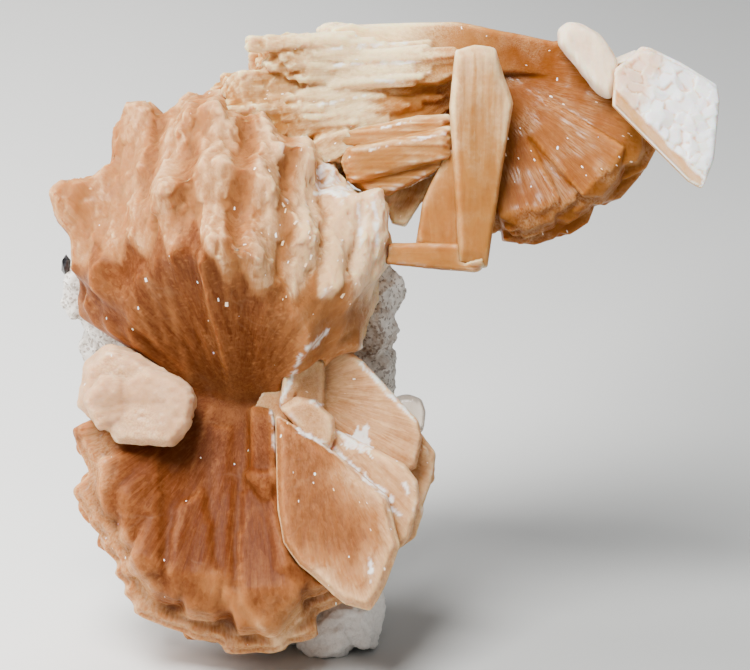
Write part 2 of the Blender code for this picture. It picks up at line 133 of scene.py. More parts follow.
class Skin:
    """The surface of a cast piece: its points and edges, and what is pushed or painted there."""

    def __init__(self, piece):
        self.mesh = piece.data
        self.edges = np.empty(len(self.mesh.edges) * 2, dtype=np.int64)
        self.mesh.edges.foreach_get("vertices", self.edges)
        self.edges = self.edges.reshape(-1, 2)
        self.points = np.empty(len(self.mesh.vertices) * 3)
        self.mesh.vertices.foreach_get("co", self.points)
        self.points = self.points.reshape(-1, 3)
        self.neighbours = np.bincount(self.edges.ravel(), minlength=len(self.points))

    def normals(self):
        """The direction that the surface faces at each point."""
        found = np.empty(len(self.points) * 3)
        self.mesh.vertices.foreach_get("normal", found)
        return found.reshape(-1, 3)

    def seen(self):
        """How squarely each point faces the front, from -1 to 1."""
        return self.normals() @ np.array(FRONT)

    def spread(self, values, rounds):
        """Values averaged with their neighbours' again and again."""
        first, second = self.edges.T
        size = len(self.points)
        for _ in range(rounds):
            total = np.bincount(first, values[second], size) + np.bincount(second, values[first], size)
            values = (values + total) / (1 + self.neighbours)
        return values

    def crest(self, rounds):
        """How far each point stands out of its surroundings, in millimetres."""
        rest = np.stack([self.spread(self.points[:, k], rounds) for k in range(3)], axis=1)
        return np.sum((self.points - rest) * self.normals(), axis=1)

    def place(self, points):
        """Moves the surface's points to these."""
        self.points = points
        self.mesh.vertices.foreach_set("co", points.ravel())
        self.mesh.update()

    def smooth(self, rounds, share=1.0):
        """Evens the surface out, wholly where the share is 1 and not at all where it is 0."""
        share = np.broadcast_to(share, len(self.points))[:, None]
        points = self.points
        for _ in range(rounds):
            near = np.stack([self.spread(points[:, k], 1) for k in range(3)], axis=1)
            points = points + (near - points) * share
        self.place(points)

    def push(self, height):
        """Moves the surface outwards by these heights, in millimetres."""
        self.place(self.points + self.normals() * height[:, None])

    def facet(self, spacing, squash, tilt, share, seed):
        """Flattens the surface into small crystal faces, longer where squash is below 1."""
        draw = np.random.default_rng(seed)
        area = sum(face.area for face in self.mesh.polygons)
        chosen = draw.choice(len(self.points), int(area / spacing ** 2), replace=False)
        room = self.points * np.array(squash)
        tree = KDTree(len(chosen))
        for number, spot in enumerate(room[chosen]):
            tree.insert(spot, number)
        tree.balance()
        near = np.array([tree.find(spot)[1] for spot in room])
        lie = self.normals()[chosen] + draw.normal(0.0, tilt, (len(chosen), 3))
        lie = (lie / np.linalg.norm(lie, axis=1)[:, None])[near]
        lift = np.clip(np.sum((self.points - self.points[chosen][near]) * lie, axis=1), -0.6, 0.6)
        self.place(self.points - lie * (lift * share)[:, None])

    def terrace(self, distance, edges, drop):
        """Steps the surface down by this much inside each of these distances from an outline."""
        uneven = distance + lumps(self.points, 2.6, 45) * 0.5
        self.push(sum(ramp(uneven, edge - 0.2, edge + 0.2) - 1.0 for edge in edges) * drop)

    def paint(self, name, values):
        """Keeps values on the surface for the materials to read, mostly from 0 to 1."""
        layer = self.mesh.attributes.new(name, "FLOAT", "POINT")
        layer.data.foreach_set("value", np.clip(values, -0.2, 1.0).astype(np.float32))

    def rays(self, waist):
        """Each point's direction and distance from the waist that it grew from."""
        arms = self.points - np.array(waist)
        length = np.maximum(np.linalg.norm(arms, axis=1), 0.1)
        return arms / length[:, None], length


# Growing crystals

def open_node(name):
    """The CAD node as an editable shape in the upright layout, its loose triangles joined."""
    shape = bmesh.new()
    shape.from_mesh(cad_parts[name].data)
    bmesh.ops.remove_doubles(shape, verts=shape.verts, dist=1e-6)
    bmesh.ops.transform(shape, matrix=TO_LAYOUT, verts=shape.verts)
    return shape


def add_crystal(shape, root, tip, face, wide, thin, point):
    """A flat crystal from its root to its tip, with a bevelled wedge at the end.

    It is wide along the side, thin along the face's direction, and point is the wedge's length.
    """
    axis = (tip - root).normalized()
    side = axis.cross(face).normalized()
    normal = side.cross(axis)
    length = (tip - root).length
    body = bmesh.ops.create_cube(shape, size=1.0)["verts"]
    sides = {side_face for vert in body for side_face in vert.link_faces}
    lid = max(sides, key=lambda side_face: side_face.calc_center_median().z)
    bmesh.ops.scale(shape, vec=(wide, thin, length - point), verts=body)
    bmesh.ops.translate(shape, vec=(0.0, 0.0, (length - point) / 2), verts=body)
    crown = bmesh.ops.extrude_discrete_faces(shape, faces=[lid])["faces"][0].verts
    bmesh.ops.translate(shape, vec=(0.0, 0.0, point), verts=crown)
    bmesh.ops.scale(shape, vec=(0.72, 0.3, 1.0), verts=crown)
    turned = Matrix((side, normal, axis)).transposed().to_4x4()
    bmesh.ops.transform(shape, matrix=Matrix.Translation(root) @ turned, verts=[*body, *crown])


def spots_on(shape, count, rng, fits):
    """Random places on the faces that fit, each with its face's direction."""
    bmesh.ops.triangulate(shape, faces=shape.faces)
    faces = [face for face in shape.faces if fits(face.calc_center_median(), face.normal)]
    found = []
    for face in rng.choices(faces, weights=[face.calc_area() for face in faces], k=count):
        a, b = rng.random(), rng.random()
        if a + b > 1.0:
            a, b = 1.0 - a, 1.0 - b
        corners = [vert.co for vert in face.verts]
        spot = corners[0] + (corners[1] - corners[0]) * a + (corners[2] - corners[0]) * b
        found.append((spot, face.normal.copy()))
    return found


def sprout(shape, waist, spots, rng, proud, wide, thin, lie=None):
    """Small crystals that grow out along the sheaf and stand proud of its ends."""
    for spot, _ in spots:
        out = (spot - waist).normalized()
        tip = spot + out * rng.uniform(*proud)
        root = spot - out * rng.uniform(5.0, 9.0)
        flat = lie or out.cross(FRONT)
        flat = (flat + Vector([rng.uniform(-0.2, 0.2) for _ in range(3)])).normalized()
        add_crystal(shape, root, tip, flat, rng.uniform(*wide), rng.uniform(*thin), rng.uniform(0.4, 1.2))


def lay(shape, spots, rng, way, length, wide, thin):
    """Long crystals half sunk into the surface, side by side along one way."""
    for spot, normal in spots:
        run = (way + Vector([rng.uniform(-0.05, 0.05) for _ in range(3)])).normalized()
        run = (run - normal * run.dot(normal) * 0.7).normalized()
        half = run * rng.uniform(*length) / 2
        add_crystal(shape, spot - half, spot + half, normal, rng.uniform(*wide), rng.uniform(*thin), 0.3)


def make_object(shape, name):
    """The finished shape as an object in the scene."""
    mesh = bpy.data.meshes.new(name)
    shape.to_mesh(mesh)
    shape.free()
    made = bpy.data.objects.new(name, mesh)
    bpy.context.scene.collection.objects.link(made)
    return made


def reskin(piece, grain):
    """Replaces the piece's mesh with one closed skin around everything in it."""
    remesh = piece.modifiers.new("skin", "REMESH")
    remesh.mode = "VOXEL"
    remesh.voxel_size = grain
    done = piece.evaluated_get(bpy.context.evaluated_depsgraph_get())
    piece.data = bpy.data.meshes.new_from_object(done)
    piece.modifiers.clear()
    piece.data.name = piece.name


def cast(shape, name, grain, soft=1):
    """One closed skin around everything in the shape, with its corners softened a little.

    The grain is the size of the finest detail in millimetres, and soft is how often it is evened.
    """
    piece = make_object(shape, name)
    reskin(piece, grain)
    Skin(piece).smooth(soft)
    return piece


def set_down(piece, node, material):
    """Leans the finished piece into place, flat on the floor, where it stands for its CAD node."""
    piece.data.transform(TO_ROW)
    skin = Skin(piece)
    skin.place(np.maximum(skin.points, LOWEST))
    piece.data.shade_smooth()
    piece.data.materials.clear()
    piece.data.materials.append(material)
    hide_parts(node)
    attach(piece, "root")


# Node groups that several materials use

def new_group(name, inputs, outputs):
    """A shader node group with named sockets, and its two end nodes."""
    group = bpy.data.node_groups.new(name, "ShaderNodeTree")
    for label, kind, value in inputs:
        socket = group.interface.new_socket(label, in_out="INPUT", socket_type=kind)
        if value is not None:
            socket.default_value = value
    for label, kind in outputs:
        group.interface.new_socket(label, in_out="OUTPUT", socket_type=kind)
    return group, group.nodes.new("NodeGroupInput"), group.nodes.new("NodeGroupOutput")


def add(tree, kind, inputs=None, **settings):
    """A node with its settings, and its inputs set or linked by name or number."""
    node = tree.nodes.new(kind)
    for name, value in settings.items():
        setattr(node, name, value)
    for name, value in (inputs or {}).items():
        if isinstance(value, bpy.types.NodeSocket):
            tree.links.new(value, node.inputs[name])
        else:
            node.inputs[name].default_value = value
    return node


def maths(tree, operation, *values):
    """The result of a maths node."""
    return add(tree, "ShaderNodeMath", dict(enumerate(values)), operation=operation).outputs[0]


def vector_maths(tree, operation, inputs, output=0):
    """The result of a vector maths node."""
    return add(tree, "ShaderNodeVectorMath", inputs, operation=operation).outputs[output]


def between(tree, value, low, high):
    """A value that runs from 0 at low to 1 at high."""
    node = add(tree, "ShaderNodeMapRange", {"Value": value, "From Min": low, "From Max": high},
               interpolation_type="SMOOTHSTEP")
    return node.outputs["Result"]


def blend(tree, share, first, second, how="MIX"):
    """Two colours mixed by a share."""
    node = add(tree, "ShaderNodeMix", {"Factor": share}, data_type="RGBA", blend_type=how)
    for socket, value in ((node.inputs[6], first), (node.inputs[7], second)):
        if isinstance(value, bpy.types.NodeSocket):
            tree.links.new(value, socket)
        else:
            socket.default_value = value
    return node.outputs[2]


def make_fibre_group():
    """Fine lines that run along the crystals, out from the point that they spread from."""
    group, given, result = new_group(
        "Crystal fibres",
        [("Vector", "NodeSocketVector", None), ("Waist", "NodeSocketVector", None),
         ("Fineness", "NodeSocketFloat", 90.0), ("Run", "NodeSocketFloat", 40.0),
         ("Tilt", "NodeSocketFloat", 0.2)],
        [("Fibres", "NodeSocketFloat"), ("Bands", "NodeSocketFloat"), ("Shade", "NodeSocketFloat"),
         ("Normal", "NodeSocketVector")])
    arm = vector_maths(group, "SUBTRACT", {0: given.outputs["Vector"], 1: given.outputs["Waist"]})
    way = vector_maths(group, "NORMALIZE", {0: arm})
    length = vector_maths(group, "LENGTH", {0: arm}, output="Value")
    run = maths(group, "MULTIPLY", length, given.outputs["Run"])
    for label, fineness in (("Fibres", 1.0), ("Bands", 0.25)):
        fine = maths(group, "MULTIPLY", given.outputs["Fineness"], fineness)
        spread = vector_maths(group, "SCALE", {0: way, "Scale": fine})
        lines = add(group, "ShaderNodeTexNoise", {"Vector": spread, "W": run, "Scale": 1.0, "Detail": 3.0,
                                                  "Roughness": 0.6}, noise_dimensions="4D")
        group.links.new(lines.outputs["Fac"], result.inputs[label])
    wide = maths(group, "MULTIPLY", given.outputs["Fineness"], 0.6)
    spread = vector_maths(group, "SCALE", {0: way, "Scale": wide})
    ends = add(group, "ShaderNodeTexVoronoi", {"Vector": spread, "W": maths(group, "MULTIPLY", run, 4.0),
                                               "Scale": 1.0}, voronoi_dimensions="4D")
    group.links.new(add(group, "ShaderNodeSeparateColor", {0: ends.outputs["Color"]}).outputs[0],
                    result.inputs["Shade"])
    turn = vector_maths(group, "SUBTRACT", {0: ends.outputs["Color"], 1: (0.5, 0.5, 0.5)})
    turn = vector_maths(group, "SCALE", {0: turn, "Scale": given.outputs["Tilt"]})
    level = add(group, "ShaderNodeNewGeometry").outputs["Normal"]
    turned = vector_maths(group, "ADD", {0: level, 1: turn})
    group.links.new(vector_maths(group, "NORMALIZE", {0: turned}), result.inputs["Normal"])
    return group


def make_glint_group():
    """Tiny glints as a mask of small spots scattered over the crystal, which the material paints white as
    highlights.
    """
    group, given, result = new_group(
        "Glints",
        [("Vector", "NodeSocketVector", None), ("Spacing", "NodeSocketFloat", 900.0),
         ("Amount", "NodeSocketFloat", 0.08), ("Size", "NodeSocketFloat", 0.16)],
        [("Mask", "NodeSocketFloat")])
    upright = vector_maths(group, "MULTIPLY", {0: given.outputs["Vector"], 1: (1.0, 1.0, 0.4)})
    cells = add(group, "ShaderNodeTexVoronoi", {"Vector": upright, "Scale": given.outputs["Spacing"]})
    shade = add(group, "ShaderNodeSeparateColor", {0: cells.outputs["Color"]})
    chosen = maths(group, "LESS_THAN", shade.outputs[0], given.outputs["Amount"])
    reach = maths(group, "MULTIPLY", shade.outputs[1], given.outputs["Size"])
    near = maths(group, "LESS_THAN", cells.outputs["Distance"], reach)
    group.links.new(maths(group, "MULTIPLY", chosen, near), result.inputs["Mask"])
    return group


def make_flaw_group():
    """Pale curved cracks and milky veils inside the crystal."""
    group, given, result = new_group(
        "Veils and cracks",
        [("Vector", "NodeSocketVector", None), ("Scale", "NodeSocketFloat", 120.0)],
        [("Cracks", "NodeSocketFloat"), ("Veils", "NodeSocketFloat")])
    vector = given.outputs["Vector"]
    drift = add(group, "ShaderNodeTexNoise", {"Vector": vector, "Scale": 90.0, "Detail": 4.0})
    shift = vector_maths(group, "SCALE", {0: drift.outputs["Color"], "Scale": 0.012})
    bent = vector_maths(group, "ADD", {0: vector, 1: shift})
    cells = add(group, "ShaderNodeTexVoronoi", {"Vector": bent, "Scale": given.outputs["Scale"]},
                feature="DISTANCE_TO_EDGE")
    line = maths(group, "SUBTRACT", 1.0, between(group, cells.outputs["Distance"], 0.0, 0.05))
    patchy = add(group, "ShaderNodeTexNoise", {"Vector": vector, "Scale": 160.0, "Detail": 2.0})
    group.links.new(maths(group, "MULTIPLY", line, between(group, patchy.outputs["Fac"], 0.5, 0.65)),
                    result.inputs["Cracks"])
    milk = add(group, "ShaderNodeTexNoise", {"Vector": vector, "Scale": 210.0, "Detail": 5.0,
                                             "Roughness": 0.6})
    group.links.new(between(group, milk.outputs["Fac"], 0.42, 0.68), result.inputs["Veils"])
    return group


def new_material(name):
    """A material with its tree, its shader and the place on the object that it is asked about."""
    material = bpy.data.materials.new(name)
    material.use_nodes = True
    tree = material.node_tree
    place = add(tree, "ShaderNodeTexCoord").outputs["Object"]
    return material, tree, tree.nodes["Principled BSDF"], place


def srgb(red, green, blue):
    """A screen colour from 0 to 255 as the linear colour that shaders want."""
    return (*((channel / 255.0) ** 2.2 for channel in (red, green, blue)), 1.0)


def stilbite(name, waist, deep, middle, pale, rough=0.42, glow=0.75, clear=0.0):
    """Translucent stilbite: deep where it is thick, pale at its rims, with fibres, and with painted
    highlights and glints in white.
    """
    material, tree, shader, place = new_material(name)
    tone, pearl_highlight, frost = (add(tree, "ShaderNodeAttribute", attribute_name=painted).outputs["Fac"]
                          for painted in ("tone", "pearl_highlight", "frost"))
    fibre, flaw, spark = (add(tree, "ShaderNodeGroup", node_tree=groups[effect])
                          for effect in ("fibres", "flaws", "glints"))
    for node in (fibre, flaw, spark):
        tree.links.new(place, node.inputs["Vector"])
    fibre.inputs["Waist"].default_value = TO_ROW @ waist
    tree.links.new(maths(tree, "MULTIPLY_ADD", frost, 0.6, 0.06), fibre.inputs["Tilt"])

    mottle = maths(tree, "MULTIPLY_ADD", fibre.outputs["Bands"], 0.18, -0.09)
    streaked = maths(tree, "MULTIPLY_ADD", fibre.outputs["Fibres"], 0.14, -0.07)
    celled = maths(tree, "MULTIPLY_ADD", fibre.outputs["Shade"], 0.1, -0.05)
    grain = add(tree, "ShaderNodeTexNoise", {"Vector": place, "Scale": 1500.0, "Detail": 2.0})
    grain = maths(tree, "MULTIPLY_ADD", grain.outputs["Fac"], 0.16, -0.08)
    celled = maths(tree, "ADD", celled, grain)
    shade = maths(tree, "ADD", maths(tree, "ADD", tone, mottle), maths(tree, "ADD", streaked, celled))
    colour = blend(tree, between(tree, shade, -0.12, 0.5), deep, middle)
    colour = blend(tree, between(tree, shade, 0.45, 1.0), colour, pale)
    milk = maths(tree, "MULTIPLY", flaw.outputs["Veils"], between(tree, shade, 0.15, 0.6))
    colour = blend(tree, maths(tree, "MULTIPLY", milk, 0.15), colour, pale)
    colour = blend(tree, maths(tree, "MULTIPLY", flaw.outputs["Cracks"], 0.03), colour, CREAM)
    dust = maths(tree, "MULTIPLY", frost, between(tree, fibre.outputs["Fibres"], 0.3, 0.7))
    colour = blend(tree, maths(tree, "MULTIPLY", dust, 0.6), colour, CREAM)
    # Painted highlights: the pearly sheen and the glint spots are painted white into the colour
    highlight = maths(tree, "MAXIMUM", pearl_highlight, spark.outputs["Mask"])
    colour = blend(tree, highlight, colour, WHITE)
    tree.links.new(colour, shader.inputs["Base Color"])

    gloss = maths(tree, "MULTIPLY_ADD", fibre.outputs["Fibres"], 0.2, rough - 0.1)
    gloss = maths(tree, "MULTIPLY_ADD", frost, 0.2, gloss)
    tree.links.new(gloss, shader.inputs["Roughness"])
    shiny = between(tree, fibre.outputs["Shade"], 0.66, 0.74)
    shiny = maths(tree, "MULTIPLY", shiny, maths(tree, "MULTIPLY", between(tree, frost, 0.02, 0.3), 0.3))
    tree.links.new(maths(tree, "MAXIMUM", shiny, maths(tree, "MULTIPLY", highlight, 0.5)),
                   shader.inputs["Coat Weight"])

    height = maths(tree, "MULTIPLY_ADD", flaw.outputs["Veils"], 0.4, fibre.outputs["Fibres"])
    bump = add(tree, "ShaderNodeBump", {"Height": height, "Strength": 0.4, "Distance": 0.0002,
                                        "Normal": fibre.outputs["Normal"]})
    tree.links.new(bump.outputs["Normal"], shader.inputs["Normal"])

    for label, value in {"IOR": 1.5, "Specular IOR Level": 0.05, "Transmission Weight": clear,
                         "Subsurface Weight": glow, "Subsurface Radius": (1.0, 0.55, 0.28),
                         "Subsurface Scale": 0.003, "Coat Roughness": 0.2}.items():
        shader.inputs[label].default_value = value
    return material


def grey_rock():
    """Grainy grey-white rock with dark specks and brown stains."""
    material, tree, shader, place = new_material("grey_rock")
    coarse = add(tree, "ShaderNodeTexNoise", {"Vector": place, "Scale": 260.0, "Detail": 6.0,
                                              "Roughness": 0.7}).outputs["Fac"]
    stains = add(tree, "ShaderNodeTexNoise", {"Vector": place, "Scale": 70.0, "Detail": 3.0}).outputs["Fac"]
    grains = add(tree, "ShaderNodeTexVoronoi", {"Vector": place, "Scale": 2400.0})
    grain = add(tree, "ShaderNodeSeparateColor", {0: grains.outputs["Color"]}).outputs[0]
    colour = blend(tree, between(tree, coarse, 0.35, 0.65), srgb(204, 194, 182), srgb(255, 251, 244))
    colour = blend(tree, between(tree, stains, 0.5, 0.75), colour, srgb(168, 138, 112))
    colour = blend(tree, maths(tree, "MULTIPLY", between(tree, grain, 0.72, 0.85), 0.6), colour,
                   srgb(112, 90, 74))
    colour = blend(tree, maths(tree, "MULTIPLY", between(tree, grain, 0.22, 0.1), 0.7), colour,
                   srgb(240, 236, 228))
    # Paler towards the bottom: partly the rock's own whiter foot, partly painted light where it stands in
    # shade
    up = add(tree, "ShaderNodeSeparateXYZ", {0: place}).outputs["Z"]
    up = maths(tree, "MULTIPLY_ADD", stains, 0.05, up)
    colour = blend(tree, maths(tree, "MULTIPLY", between(tree, up, 0.055, 0.035), 0.8), colour,
                   srgb(255, 250, 244))
    tree.links.new(colour, shader.inputs["Base Color"])
    height = maths(tree, "MULTIPLY_ADD", grain, 0.5, coarse)
    bump = add(tree, "ShaderNodeBump", {"Height": height, "Strength": 0.8, "Distance": 0.0005})
    tree.links.new(bump.outputs["Normal"], shader.inputs["Normal"])
    shader.inputs["Roughness"].default_value = 0.85
    return material


# The pieces

# The dome's scalloped front rim, the lower fan's outline and the step within it, in millimetres as
# seen from the front, right and up
DOME_RIM = [(-52.0, 66.0), (-44.0, 67.0), (-30.0, 69.0), (-27.0, 67.0), (-24.5, 61.5), (-8.0, 61.0),
            (0.0, 62.0)]
FAN_RIM = [(-47.1, 36.8), (-50.1, 27.0), (-47.4, 21.5), (-44.1, 18.3), (-42.6, 13.7), (-40.1, 10.8),
           (-39.9, 7.3), (-35.3, 5.0), (-30.1, 3.8), (-24.6, 1.8), (-17.4, 0.2), (-12.8, 5.0), (-7.6, 10.8)]
FAN_STEPS = [(-27.8, 13.0), (-16.8, 2.7), (-13.3, 5.8)]
# The pale edges of plates within the sheaf
PLATE_SEAMS = (
    [(-28.5, 41.2), (-33.2, 23.9), (-34.8, 14.9)],
    [(-26.9, 32.6), (-32.8, 24.3), (-33.6, 18.4)],
    [(-21.0, 25.5), (-23.4, 20.0), (-23.0, 10.5), (-17.5, 2.7), (-10.4, 5.8), (-7.6, 12.1)],
    [(-18.3, 40.4), (-17.9, 31.0), (-14.3, 19.2), (-12.8, 15.2)],
    [(-35.4, 62.2), (-32.0, 45.7)],
    [(-38.8, 64.4), (-35.5, 52.0)],
    [(-41.0, 60.0), (-37.5, 52.0)],
    [(-29.2, 66.5), (-27.6, 50.0)],
)
# The tips of three crystals on the dome's right shoulder
SHOULDER_TIPS = (Vector((-9.0, -6.0, 82.0)), Vector((-6.6, -4.0, 78.6)), Vector((-4.0, -7.0, 76.0)))
# The deepest valleys between the dome's ribs, grooved in and darkened with painted shade
DOME_VALLEYS = (
    [(-36.7, 90.0), (-38.8, 79.0), (-39.6, 71.5)],
    [(-30.6, 83.0), (-31.8, 79.5), (-33.4, 70.0)],
    [(-22.0, 88.5), (-21.6, 82.0), (-23.3, 75.5), (-24.0, 67.5)],
    [(-14.4, 84.0), (-15.4, 76.0), (-15.0, 70.0)],
)
# Plates that lie on the fan: each one's outline, and how far it stands proud, in millimetres
FAN_PLATES = (
    ([(-22.5, 31.0), (-23.4, 20.0), (-23.0, 10.2), (-20.5, 5.5), (-17.5, 2.7), (-12.8, 6.6), (-15.5, 19.0),
      (-17.2, 31.0)], 0.8),
    ([(-46.5, 33.0), (-36.6, 35.0), (-36.0, 14.9), (-42.3, 13.3), (-46.0, 22.0)], 0.6),
    ([(-33.9, 25.0), (-29.5, 28.0), (-26.5, 14.0), (-27.0, 6.5), (-34.0, 7.5), (-34.8, 14.9)], 0.7),
    ([(-28.0, 38.0), (-25.0, 38.0), (-24.6, 12.0), (-26.0, 9.5), (-27.2, 20.0)], 0.4),
)


def main_sheaf_piece():
    """The large bow tie: a dome of upright ribs above the waist and a fan of petals below it."""
    shape = open_node("main_sheaf")
    for tip in SHOULDER_TIPS:
        add_crystal(shape, WAIST, tip, RIGHT, 6.0, 4.0, 1.5)
    for (x0, z0), (x1, z1) in zip(FAN_RIM, FAN_RIM[1:]):
        tip = Vector(((x0 + x1) / 2, -10.0, (z0 + z1) / 2))
        add_crystal(shape, WAIST.lerp(tip, 0.5), tip, FRONT, math.hypot(x1 - x0, z1 - z0) + 3.0, 5.0, 0.6)
    piece = cast(shape, "bow_tie", BOW_TIE_GRAIN, soft=0)
    # The dome swells, closes over its small gaps and shrinks back
    skin = Skin(piece)
    skin.push(ramp(skin.points[:, 2], *DOME_START) * SWELL)
    reskin(piece, BOW_TIE_GRAIN)
    skin = Skin(piece)
    skin.push(ramp(skin.points[:, 2], *DOME_START) * -SWELL)
    inner = ramp(skin.seen(), 0.1, 0.5) * ramp(skin.points[:, 2], 52.0, 60.0)
    skin.smooth(8, 0.3 + 0.7 * ramp(skin.points[:, 2], 50.0, 60.0))
    skin.smooth(40, inner)

    # Where the dome is, and the courses of its ribs
    way, length = skin.rays(WAIST)
    arm = skin.points - np.array(WAIST)
    above = ramp(arm[:, 2], -3.0, 4.0)
    facing = arm @ np.array((0.0, -math.cos(RIB_TILT), math.sin(RIB_TILT)))
    around = np.degrees(np.arctan2(arm[:, 0], facing)) + lumps(skin.points, 13.0, 61) * 2.5
    ribs = np.abs(np.sin(np.pi * around / RIB_ANGLE))
    fine = np.abs(np.sin(np.pi * (around / FINE_ANGLE + lumps(skin.points, 6.0, 62))))

    # The caps of the crystals end at the scalloped rim, and grooves run out from the waist below it
    front = ramp(skin.seen(), -0.1, 0.4)
    rim = np.interp(skin.points[:, 0], *zip(*DOME_RIM)) - (ribs - 0.6) * 4.0
    over_rim = ramp(skin.points[:, 2] - rim + lumps(skin.points, 4.0, 65) * 1.5, -1.6, 1.6)
    ends = ramp(np.sum(way * skin.normals(), axis=1), 0.25, 0.75)
    cap = above * (front * over_rim + (1.0 - front) * ends)
    swing = np.degrees(np.arctan2(arm[:, 0], np.abs(arm[:, 2]) + 0.5))
    lanes = np.stack([swing / 7.0, arm[:, 1] / 12.0, length / 60.0], axis=1)
    folds = np.abs(noise(lanes, 63))
    threads = noise(lanes * np.array((5.0, 5.0, 1.0)), 64)
    grown = ramp(length, 8.0, 24.0)
    ribbed = 0.35 + 0.65 * ramp(skin.points[:, 0], -44.0, -38.0)
    crown = ramp(skin.normals()[:, 2], 0.2, 0.8) * above
    height = cap * (ribs * ribbed + fine * (0.16 + crown * 0.4) - 0.8)
    height += grown * (1.0 - cap) * (folds * 0.36 - 0.15 + threads * 0.07)
    height += lumps(skin.points * np.array((1.0, 1.0, 0.4)), 2.4, 21) * 0.1 * grown
    skin.push(height)
    valleys = nearest_line(skin.points[:, 0], skin.points[:, 2], DOME_VALLEYS)
    valleys = ramp(valleys + lumps(skin.points, 3.0, 78) * 0.8, 2.2, 0.3) * cap * front
    skin.push(valleys * -0.45)
    skin.smooth(4, valleys)
    skin.facet(1.9, (1.0, 1.0, 0.3), 0.14, cap * 0.75, 68)

    # The fan's plates and stepped rims
    x, z = skin.points[:, 0], skin.points[:, 2]
    ragged = lumps(skin.points, 1.8, 77) * 0.4
    plates = sum(inside(x + ragged, z + ragged, outline) * proud for outline, proud in FAN_PLATES)
    skin.push(skin.spread(plates, 2) * front)
    x, z = skin.points[:, 0], skin.points[:, 2]
    to_rim = nearness(x, z, FAN_RIM) + FAR * (above + 1.0 - front)
    skin.terrace(to_rim, (1.3, 2.6, 4.8), 0.16)

    # How pale and dusty each place is, with painted shade in hollows and painted highlights
    small, large = skin.crest(8), skin.crest(120)
    top = 0.08 + cap * 0.44 + cap * (ribs - 0.6) * 0.24
    top += ramp(-arm[:, 0], 8.0, 26.0) * 0.05 * (1.0 - cap) + ramp(arm[:, 0], 0.0, 14.0) * 0.3
    top += (1.0 - cap) * ramp(np.abs(threads), 0.05, 0.0) * 0.15
    edge = ramp(nearness(x, z, FAN_RIM) + lumps(skin.points, 5.0, 66) * 2.0, 5.5, 1.0)
    step = ramp(nearness(x, z, FAN_STEPS) + lumps(skin.points, 3.0, 67) * 0.8, 3.0, 0.3)
    low = -0.04 + ramp(length, 14.0, 4.0) * 0.24 + edge * 0.32 + step * 0.22
    low += ramp(-arm[:, 0], 8.0, 26.0) * 0.08 + ramp(-arm[:, 2], 22.0, 38.0) * 0.14
    tone = above * top + (1.0 - above) * low
    seams = nearest_line(x, z, PLATE_SEAMS)
    tone += ramp(seams + lumps(skin.points, 2.0, 76) * 0.4, 0.7, 0.1) * front * 0.14
    # Painted shade and highlight: hollows darker and crests paler, by how far each place stands out
    tone += np.clip(small * 0.4, -0.1, 0.12) + np.clip(large * 0.05, -0.1, 0.15)
    tone += lumps(skin.points, 8.0, 31) * 0.08 - ramp(-x, 32.0, 46.0) * cap * 0.08
    # The right rim is paler and dusty, with a faint painted highlight
    right_rim_dust_and_highlight = ramp(x, -7.0, -2.0) * ramp(z, 54.0, 60.0) * above
    # Painted shade along the deepest valleys between the ribs
    skin.paint("tone", np.maximum(tone, cap * 0.42) + right_rim_dust_and_highlight * 0.35 - valleys * 0.2)
    # Painted glints on the crests of the dome's right part, along streaks
    streaks = noise(skin.points / np.array((1.1, 1.1, 3.0)), 69) * 0.7 + lumps(skin.points, 0.8, 70) * 0.4
    sparkle = cap * ramp(small, 0.0, 0.25) * ramp(x, -26.0, -8.0) * ramp(streaks, 0.3, 0.45)
    flash(skin, DOME_FLASHES, DOME_LINES, np.maximum(sparkle * 0.7, right_rim_dust_and_highlight * 0.06))
    dusty = cap * (0.03 + 0.1 * ramp(-arm[:, 0], 0.0, 20.0)) * ribs + (1.0 - above) * edge * 0.35
    skin.paint("frost", dusty + cap * ramp(small, 0.0, 0.3) * 0.14 + right_rim_dust_and_highlight * 0.4)
    bright_faces(skin, "bow_tie_glints", WAIST, NAMED_FACES, 36)
    return piece


def flash(skin, outlines=(), lines=(), more=0.0):
    """Paints highlights: a pearly sheen on cleavage faces and edges where they face the front, painted
    white by the material.
    """
    x, z = skin.points[:, 0], skin.points[:, 2]
    ragged = lumps(skin.points, 1.4, 41) + noise(skin.points * 2.2, 42) * 0.6
    pearl_highlight = np.zeros(len(x))
    for outline in outlines:
        pearl_highlight = np.maximum(pearl_highlight, inside(x + ragged * 0.7, z + ragged * 0.7, outline))
    for line, width in lines:
        pearl_highlight = np.maximum(pearl_highlight, ramp(nearness(x, z, line) + ragged * 0.4, width, width * 0.3))
    pearl_highlight *= ramp(lumps(skin.points, 0.9, 43), -0.4, 0.1) * 0.8
    pearl_highlight = np.maximum(pearl_highlight, more)
    # These are painted highlights, which the material turns white
    skin.paint("pearl_highlight", pearl_highlight * ramp(skin.seen(), -0.1, 0.3))


# Cleavage faces and edges that are painted as highlights, in millimetres as seen from the front
DOME_FLASHES = (
    [(-11.4, 78.7), (-5.6, 77.6), (-5.2, 75.8), (-11.4, 76.4)],
    [(-10.6, 80.4), (-9.2, 82.6), (-7.4, 80.4), (-6.9, 78.2), (-10.4, 78.4)],
)
WEDGE_LINE = ([(-9.2, 54.0), (-13.4, 49.7), (-16.6, 42.2)], 0.45)
DOME_LINES = (
    ([(-18.4, 41.0), (-17.6, 38.0), (-17.6, 34.2)], 0.4),
    ([(-4.0, 75.0), (-3.6, 68.0)], 0.35),
    ([(-1.6, 76.5), (-0.8, 70.0), (-1.2, 66.0)], 0.35),
    WEDGE_LINE,
)
BOOK_FLASHES = (
    [(-7.9, 37.8), (-5.1, 36.5), (-3.8, 38.8), (-2.1, 39.0), (-2.8, 37.2), (-1.4, 33.3), (-4.1, 34.2),
     (-7.1, 35.8)],
)
